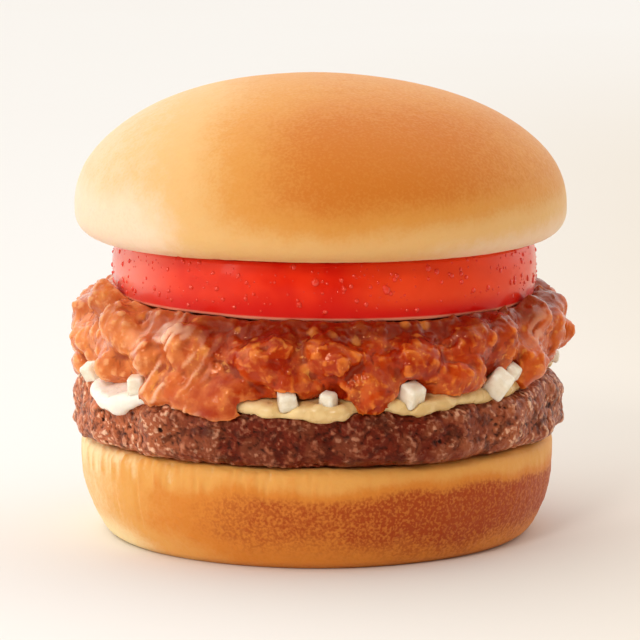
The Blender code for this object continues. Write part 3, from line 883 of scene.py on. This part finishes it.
def paint_chunks(sauce, chunks, draw):
    """Gives every bit of meat a tone of its own."""
    tree = KDTree(len(chunks))
    tones = [draw.random() for _ in chunks]
    for number, (matrix, _, _) in enumerate(chunks):
        tree.insert(matrix.translation, number)
    tree.balance()
    tone = np.full(len(sauce.data.vertices), 0.5)
    bit = np.zeros(len(tone))
    for vertex in sauce.data.vertices:
        _, number, distance = tree.find(vertex.co)
        _, size, pale = chunks[number]
        share = min(1.0, max(0.0, 2.2 - 1.4 * distance / size))
        tone[vertex.index] += (tones[number] - 0.5) * share
        bit[vertex.index] = pale * share
    paint(sauce, "chunk", tone)
    paint(sauce, "bit", bit)


def thin_hidden(obj, radius, ratio):
    """Keeps the fine mesh where it shows, near the rim, and coarsens what the layers above and below hide."""
    hidden = obj.vertex_groups.new(name="hidden")
    points = points_of(obj)
    inside = np.nonzero(np.hypot(points[:, 0], points[:, 1]) < radius)[0]
    hidden.add([int(i) for i in inside], 1.0, "REPLACE")
    thin = obj.modifiers.new("thin", "DECIMATE")
    thin.vertex_group = "hidden"
    thin.ratio = ratio
    settle(obj)


def press_under_tomato(sauce):
    """Keeps the sauce's top below the slice's lower edge, so that the edge shows all round."""
    points = points_of(sauce)
    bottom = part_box("tomato")[1].z - TOMATO_THICKNESS
    bottom += TOMATO_SLOPES[0] * points[:, 0] + TOMATO_SLOPES[1] * points[:, 1]
    outside = np.hypot(points[:, 0] - TOMATO_SHIFT, points[:, 1]) - TOMATO_RADIUS
    ceiling = bottom + TOMATO_CORNER / 2 + 1.2 * np.maximum(0, outside)
    points[:, 2] = np.minimum(points[:, 2], ceiling)
    set_points(sauce, points)


def sauce_heights(points, warped, fibres, fibrous):
    """Relief of the sauce's wall: folds, creases and crumbly flakes, with fibres in some lobes and little of
    it all on the big drip."""
    rim = between(np.hypot(points[:, 0], points[:, 1]), 38 * MM, 41 * MM)
    sleek = near_azimuth(points, *DRIP_AT) * (1 - between(points[:, 2], 36 * MM, 42 * MM))
    plain = (1 - 0.9 * np.maximum(fibrous, sleek)) * (1 - 0.2 * between(-points[:, 0], 25 * MM, 40 * MM))
    folds = ripple(warped, 3.6 * MM, 64) + 0.5 * ripple(warped, 1.8 * MM, 65)
    creases = 1 - 2 * np.abs(ripple(warped * (1, 1, 0.55), 2.2 * MM, 66))
    crumbly = 0.2 * flakes(warped, 2.3 * MM, 90) + 0.07 * flakes(warped, 1.2 * MM, 94)
    heights = 0.3 * folds * (1 - 0.6 * sleek) + (0.14 * creases + crumbly) * plain + 0.4 * fibres * fibrous
    return rim * MM * heights


def paint_sauce(sauce):
    """Paints shade under the tomato, light on the left and a warmer light on the right."""
    points = points_of(sauce)
    across = points[:, 0]
    height = points[:, 2] + 1.5 * MM * ripple(points, 4 * MM, 68)
    inner = 1 - between(np.hypot(across, points[:, 1]), 47.5 * MM, 51 * MM)
    # Less painted shade at the left, where the light falls.
    inner *= 0.3 + 0.7 * between(across, -36 * MM, -16 * MM)
    paint(sauce, "deep", 0.8 * between(height, 43 * MM, 46.5 * MM) * inner)
    paint(sauce, "lit", 0.7 * (1 - between(across, -46 * MM, -6 * MM)))
    # Painted light on the right side.
    paint(sauce, "right_light", 0.6 * between(across, 32 * MM, 49 * MM))


def make_sauce():
    draw = random.Random(SEED)
    sauce = copy_of("chunky_sauce", "meat_sauce")
    chunks = add_chunks(sauce, draw)
    remesh(sauce, SAUCE_VOXEL)
    thin_hidden(sauce, SAUCE_COARSE_RADIUS, SAUCE_FACES_LEFT)
    smooth(sauce, 5)
    points = points_of(sauce)
    warped = points + 1.2 * MM * drift(points, 3.5 * MM, 61)
    fibres = ripple(warped @ np.array(SLANT), 0.9 * MM, 98)
    fibrous = sum(near_azimuth(points, place, width) * strength for place, width, strength in FIBRES_AT)
    relief(sauce, sauce_heights(points, warped, fibres, fibrous))
    press_under_tomato(sauce)
    paint_ridges(sauce, 14, 0.14 * MM)
    paint_chunks(sauce, chunks, draw)
    paint_sauce(sauce)
    # Painted highlights along the fibres of the fibrous lobes.
    paint(sauce, "fibre_highlight", 0.8 * between(fibres, 0.05, 0.4) * fibrous)
    return dress(sauce, sauce_material(), "meat_sauce", "meat_sauce")


TOMATO_STEPS = 420
TOMATO_SPACING = 0.35 * MM


def tomato_shape(point, top):
    share = (top - point.z) / TOMATO_THICKNESS
    moved = outwards(point, UNEVEN * waviness(point, TOMATO_WAVE, 4))
    moved.z += share * (TOMATO_SLOPES[0] * point.x + TOMATO_SLOPES[1] * point.y)
    moved.x += TOMATO_SHIFT
    return moved


def tomato_profile(bottom, top):
    inner = TOMATO_RADIUS - TOMATO_CORNER
    high = top - TOMATO_CORNER
    low = bottom + TOMATO_CORNER
    side = [(inner - 1 * MM, top)] + arc(inner, high, TOMATO_CORNER, 90, 0, 8)
    for z in np.linspace(high, low, 24)[1:-1]:
        side.append((TOMATO_RADIUS + TOMATO_BULGE * math.sin(math.pi * (z - low) / (high - low)), z))
    side += arc(inner, low, TOMATO_CORNER, 0, -90, 8)
    side.append((inner - 1 * MM, bottom))
    return [(0.0, top)] + evenly(side, TOMATO_SPACING) + [(0.0, bottom)]


def make_tomato():
    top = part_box("tomato")[1].z
    tomato = turned("tomato_slice", tomato_profile(top - TOMATO_THICKNESS, top), TOMATO_STEPS)
    share = (top - points_of(tomato)[:, 2]) / TOMATO_THICKNESS
    reshape(tomato, lambda point: tomato_shape(point, top))
    points = points_of(tomato)
    across = points[:, 0] - TOMATO_SHIFT
    # Painted glare at the left end and along the right edge.
    glare = 0.62 * (1 - between(across, -41 * MM, -27 * MM)) + 0.3 * between(across, 41 * MM, 42.6 * MM)
    glare += 0.1 * (1 - between(across, -32 * MM, -6 * MM))
    # Pale cut edge, partly a painted highlight.
    paint(tomato, "cut", between(share, 0.93, 0.955))
    paint(tomato, "deep", 0.8 * between(share, 0.55, 0.88) * (1 - between(share, 0.92, 0.94)))
    # Painted light on the right of the middle.
    paint(tomato, "right_light", 0.6 * between(across, 0, 16 * MM) * (1 - between(share, 0.6, 0.9)))
    paint(tomato, "glare", glare * (1 - 0.7 * between(share, 0.55, 0.9)))
    relief(tomato, 0.12 * MM * ripple(points, 12 * MM, 71) + 0.03 * MM * ripple(points, 3 * MM, 72))
    return dress(tomato, tomato_material(), "tomato", "tomato")


DROPS = 640
DROP_SIZES = (0.13, 0.5)  # half widths in millimetres
DROP_HEIGHTS = (50.3, 59.6)
DROP_RARITY = 2.5  # the higher, the fewer of them are large
DROP_FLATNESS = 0.65
LARGE_DROPS = (  # azimuth, height and half width in millimetres
    (-1.2, 56.3, 0.75),
    (17.2, 54.6, 0.7),
    (31.5, 57.6, 0.55),
    (39, 55.2, 0.5),
    (29, 58.4, 0.55),
    (-36, 54.2, 0.45),
)


def make_drops(tomato):
    draw = random.Random(SEED + 1)
    surface = BVHTree.FromObject(tomato, bpy.context.evaluated_depsgraph_get())
    least, most = DROP_SIZES
    drops = list(LARGE_DROPS)
    for _ in range(DROPS):
        size = least + (most - least) * draw.random() ** DROP_RARITY
        drops.append((draw.uniform(-180, 180), draw.uniform(*DROP_HEIGHTS), size))
    large, small = [], []
    for number, (azimuth, height, size) in enumerate(drops):
        start = around(azimuth, FAR_OUT, height * MM)
        place, normal, _, _ = surface.ray_cast(start, around(azimuth + 180, 1, 0))
        if place is None:
            continue
        turn = normal.to_track_quat("Z", "Y").to_matrix().to_4x4()
        length = size * draw.uniform(0.9, 1.3)
        flat = Matrix.Diagonal((size * MM, length * MM, size * DROP_FLATNESS * MM, 1))
        group = large if number < len(LARGE_DROPS) else small
        group.append(Matrix.Translation(place) @ turn @ flat)
    for name, group, detail in (("large_drops", large, 3), ("small_drops", small, 2)):
        dress(add_object(name, ball_mesh(name, group, detail)), water_material(), "tomato")


CROWN_TONES = ((246, 216, 184), (233, 184, 118), (222, 151, 68), (207, 118, 32))  # cream where the crust is palest, at the left from less browning and painted light, then to well browned
CROWN_STEPS = 620
CROWN_SPACING = 0.55 * MM


def crown_relief(point, top):
    moved = outwards(point, UNEVEN * waviness(point, CROWN_WAVE, 6))
    moved.x += CROWN_LEAN * max(0.0, (point.z - CROWN_WIDEST) / (top - CROWN_WIDEST)) ** CROWN_LEAN_POWER
    return moved


def crown_profile(bottom, top):
    power = 2 / CROWN_ROUNDNESS
    rise = top - CROWN_WIDEST
    side = []
    for angle in np.radians(np.linspace(90, 0, 160)):
        radius = CROWN_RADIUS * max(0.0, math.cos(angle)) ** power
        side.append((radius, CROWN_WIDEST + rise * math.sin(angle) ** power))
    side[0] = (0.0, top)
    side += arc(CROWN_RADIUS - CROWN_LIP, bottom + CROWN_LIP, CROWN_LIP, 0, -90, 30)
    side.append((CROWN_RADIUS - CROWN_LIP - 6 * MM, bottom))
    return evenly(side, CROWN_SPACING) + [(0.0, bottom)]


def paint_crust(crown, points):
    """Brown on the dome and pale along the lip; palest at the left from less browning and painted light from
    the left; paler at the right and at the lip's ends as painted light from the sides; paler at the very top
    as a painted sheen.
    """
    wander = 2 * MM * ripple(points, 18 * MM, 86)
    across = points[:, 0] + wander
    height = points[:, 2]
    # Browning by height, with the very top paler as a painted sheen.
    bake_and_top_sheen = between(height + wander, 61 * MM, 76 * MM) * (1 - 0.36 * between(height, 83 * MM, 93 * MM))
    # Palest at the left, from less browning and painted light from the left; paler at the right as a painted
    # rim light.
    facing = -0.5 + 1.5 * between(across, -47 * MM, 7 * MM) - 0.36 * between(across, 18 * MM, 48 * MM)
    # Painted light from the sides pales the lip at the left and the right.
    ends = 0.28 * between(-across, 12 * MM, 42 * MM) + 0.42 * between(across, 8 * MM, 40 * MM)
    bake_and_light = np.where(facing > 0, facing * bake_and_top_sheen, facing * (1 - 0.5 * bake_and_top_sheen))
    paint(crown, "bake_and_light", bake_and_light - (1 - bake_and_top_sheen) * ends)
    paint(crown, "grain", 0.02 + 0.02 * bake_and_top_sheen)


def make_crown():
    low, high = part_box("bun_crown")
    crown = turned("soft_crown", crown_profile(low.z, high.z), CROWN_STEPS)
    reshape(crown, lambda point: crown_relief(point, high.z))
    points = points_of(crown)
    height = points[:, 2]
    radius = np.hypot(points[:, 0], points[:, 1])
    dimples = pits(points, 2.6 * MM, 81, 0.04, 0.16, 0.4)
    lip = (1 - between(height, low.z + 0.4 * MM, low.z + 2.2 * MM)) * between(radius, 42 * MM, 46 * MM)
    nicks = np.maximum(0, ripple(points, 1.3 * MM, 82) + 0.5 * ripple(points, 0.7 * MM, 83) - 0.15)
    relief(
        crown,
        0.18 * MM * ripple(points, 14 * MM, 84)
        + 0.02 * MM * ripple(points, 1.5 * MM, 85)
        - 0.1 * MM * dimples * between(height, 63 * MM, 66 * MM)
        - 0.5 * MM * nicks * lip * (0.25 + 0.75 * near_azimuth(points, -38, 22)),
    )
    paint_crust(crown, points)
    return dress(crown, bun_material("crown_skin", 0.12, *CROWN_TONES), "bun", "bun_crown")


# Studio


def add_camera():
    data = bpy.data.cameras.new("camera")
    data.lens = CAMERA_LENS
    data.sensor_width = CAMERA_SENSOR
    data.clip_start = CAMERA_NEAR
    camera = bpy.data.objects.new("camera", data)
    camera.location = CAMERA_PLACE
    camera.rotation_euler = (math.radians(CAMERA_TILT), 0, 0)
    bpy.context.scene.collection.objects.link(camera)
    bpy.context.scene.camera = camera


LIGHTS = (  # name, place, power in watts, width and height
    ("front", (-0.35, -0.95, 0.7), 3.3, 0.22, 0.22),
    ("left", (-0.75, -0.62, 0.3), 0.7, 0.1, 0.3),
)
LIGHT_TARGET = (0.0, 0.0, 0.045)
LIGHT_COLOUR = (1.0, 0.97, 0.93)


def add_light(name, place, power, width, height):
    data = bpy.data.lights.new(name, "AREA")
    data.shape = "RECTANGLE"
    data.size = width
    data.size_y = height
    data.energy = power
    data.color = LIGHT_COLOUR
    light = bpy.data.objects.new(name, data)
    light.location = place
    light.rotation_euler = (Vector(LIGHT_TARGET) - Vector(place)).to_track_quat("-Z", "Y").to_euler()
    light.visible_camera = False
    bpy.context.scene.collection.objects.link(light)


FLOOR_RADIUS = 6.0
FLOOR_SIDES = 96


def add_floor():
    shape = bmesh.new()
    bmesh.ops.create_circle(shape, cap_ends=True, segments=FLOOR_SIDES, radius=FLOOR_RADIUS)
    mesh = bpy.data.meshes.new("floor")
    shape.to_mesh(mesh)
    shape.free()
    floor = add_object("floor", mesh)
    floor.data.materials.append(floor_material())


WORLD_LEAST = 0.24
WORLD_TINTS = ((1.0, 0.88, 0.7), (1.0, 0.98, 0.955))  # of the dim and of the bright sides
GLOWS = (  # the room's bright sides: direction, where each starts and is full, as cosines, and strength
    ((-0.85, 0.1, 0.4), 0.1, 1.0, 1.0),
    ((0.35, 0.85, 0.4), 0.1, 0.85, 0.8),
    ((0.95, 0.1, 0.3), 0.3, 1.0, 0.32),
    ((0.0, 0.0, 1.0), 0.3, 1.0, 0.25),
)


def add_glow(nodes, links, direction, glow):
    """Light from one side of the room, which fades with the angle from it."""
    towards, low, high, strength = glow
    dot = nodes.new("ShaderNodeVectorMath")
    dot.operation = "DOT_PRODUCT"
    dot.inputs[1].default_value = Vector(towards).normalized()
    links.new(direction, dot.inputs[0])
    fade = nodes.new("ShaderNodeMapRange")
    fade.interpolation_type = "SMOOTHSTEP"
    fade.inputs["From Min"].default_value = low
    fade.inputs["From Max"].default_value = high
    fade.inputs["To Max"].default_value = strength
    links.new(dot.outputs["Value"], fade.inputs["Value"])
    return fade.outputs["Result"]


def add_world():
    world = bpy.data.worlds.new("studio")
    world.use_nodes = True
    nodes = world.node_tree.nodes
    links = world.node_tree.links
    background = nodes["Background"]
    direction = nodes.new("ShaderNodeTexCoord").outputs["Generated"]
    strength = nodes.new("ShaderNodeValue").outputs[0]
    strength.default_value = WORLD_LEAST
    for glow in GLOWS:
        total = nodes.new("ShaderNodeMath")
        links.new(add_glow(nodes, links, direction, glow), total.inputs[0])
        links.new(strength, total.inputs[1])
        strength = total.outputs[0]
    links.new(strength, background.inputs["Strength"])
    tint = nodes.new("ShaderNodeMix")
    tint.data_type = "RGBA"
    dim, bright = WORLD_TINTS
    tint.inputs[MIX_LOW].default_value = (*dim, 1.0)
    tint.inputs[MIX_HIGH].default_value = (*bright, 1.0)
    links.new(strength, tint.inputs["Factor"])
    links.new(tint.outputs[MIX_RESULT], background.inputs["Color"])
    bpy.context.scene.world = world


add_camera()
add_floor()
add_world()
for light in LIGHTS:
    add_light(*light)
bpy.context.scene.view_settings.view_transform = "Standard"

make_heel()
make_patty()
make_mayonnaise()
make_onions()
make_sauce()
make_drops(make_tomato())
make_crown()
